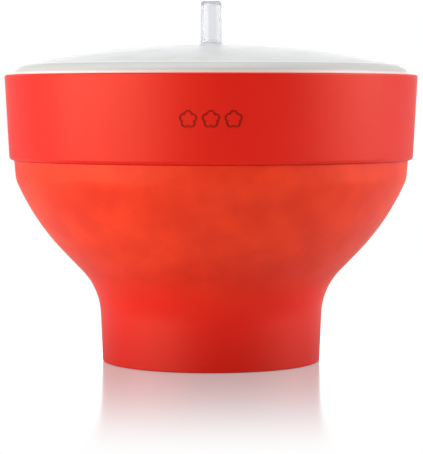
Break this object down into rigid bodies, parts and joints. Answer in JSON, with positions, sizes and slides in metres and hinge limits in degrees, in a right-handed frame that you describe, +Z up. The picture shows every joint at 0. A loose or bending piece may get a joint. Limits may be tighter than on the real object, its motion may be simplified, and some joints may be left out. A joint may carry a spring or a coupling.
{
  "type": "collapsible popcorn maker",
  "caption": "Round soft bowl that folds flat on a narrow foot, with a thick rim band and a loose shallow domed lid lifted by a slim hollow peg.",
  "frame": {"origin": "centre of the foot's flat underside, on the surface the bowl stands on", "axes": "+Z up along the bowl's axis, -Y towards the front, where the rim band's pattern is"},
  "size_m": [0.1998, 0.1998, 0.1747],
  "materials": {
    "bowl": "satin translucent red silicone",
    "rim": "satin red silicone",
    "lid": "milky translucent plastic",
    "knob": "clear plastic"
  },
  "bodies": {
    "base": {"base_cup": "bowl"},
    "band_1": {"fold_band_1": "bowl"},
    "band_2": {"fold_band_2": "bowl"},
    "band_3": {"fold_band_3": "bowl"},
    "band_4": {"fold_band_4": "bowl"},
    "band_5": {"fold_band_5": "bowl"},
    "band_6": {"fold_band_6": "bowl"},
    "rim": {"upper_wall": "bowl", "rim_band": "rim"},
    "lid": {"lid_shell": "lid", "lid_knob": "knob"}
  },
  "joints": [
    {"name": "bowl_fold", "type": "slide", "parent": "base", "child": "rim", "axis": [0, 0, 1], "range_m": [-0.066, 0]},
    {"name": "band_1_fold", "type": "slide", "parent": "base", "child": "band_1", "axis": [0, 0, 1], "range_m": [-0.0101, 0]},
    {"name": "band_2_fold", "type": "slide", "parent": "base", "child": "band_2", "axis": [0, 0, 1], "range_m": [-0.0215, 0]},
    {"name": "band_3_fold", "type": "slide", "parent": "base", "child": "band_3", "axis": [0, 0, 1], "range_m": [-0.0334, 0]},
    {"name": "band_4_fold", "type": "slide", "parent": "base", "child": "band_4", "axis": [0, 0, 1], "range_m": [-0.046, 0]},
    {"name": "band_5_fold", "type": "slide", "parent": "base", "child": "band_5", "axis": [0, 0, 1], "range_m": [-0.0582, 0]},
    {"name": "band_6_fold", "type": "slide", "parent": "base", "child": "band_6", "axis": [0, 0, 1], "range_m": [-0.0658, 0]},
    {"name": "lid_lift", "type": "slide", "parent": "rim", "child": "lid", "axis": [0, 0, 1], "range_m": [0, 0.1]}
  ],
  "couplings": [
    {"joint": "band_1_fold", "follows": "bowl_fold", "ratio": 0.152},
    {"joint": "band_2_fold", "follows": "bowl_fold", "ratio": 0.324},
    {"joint": "band_3_fold", "follows": "bowl_fold", "ratio": 0.504},
    {"joint": "band_4_fold", "follows": "bowl_fold", "ratio": 0.696},
    {"joint": "band_5_fold", "follows": "bowl_fold", "ratio": 0.881},
    {"joint": "band_6_fold", "follows": "bowl_fold", "ratio": 0.996}
  ]
}
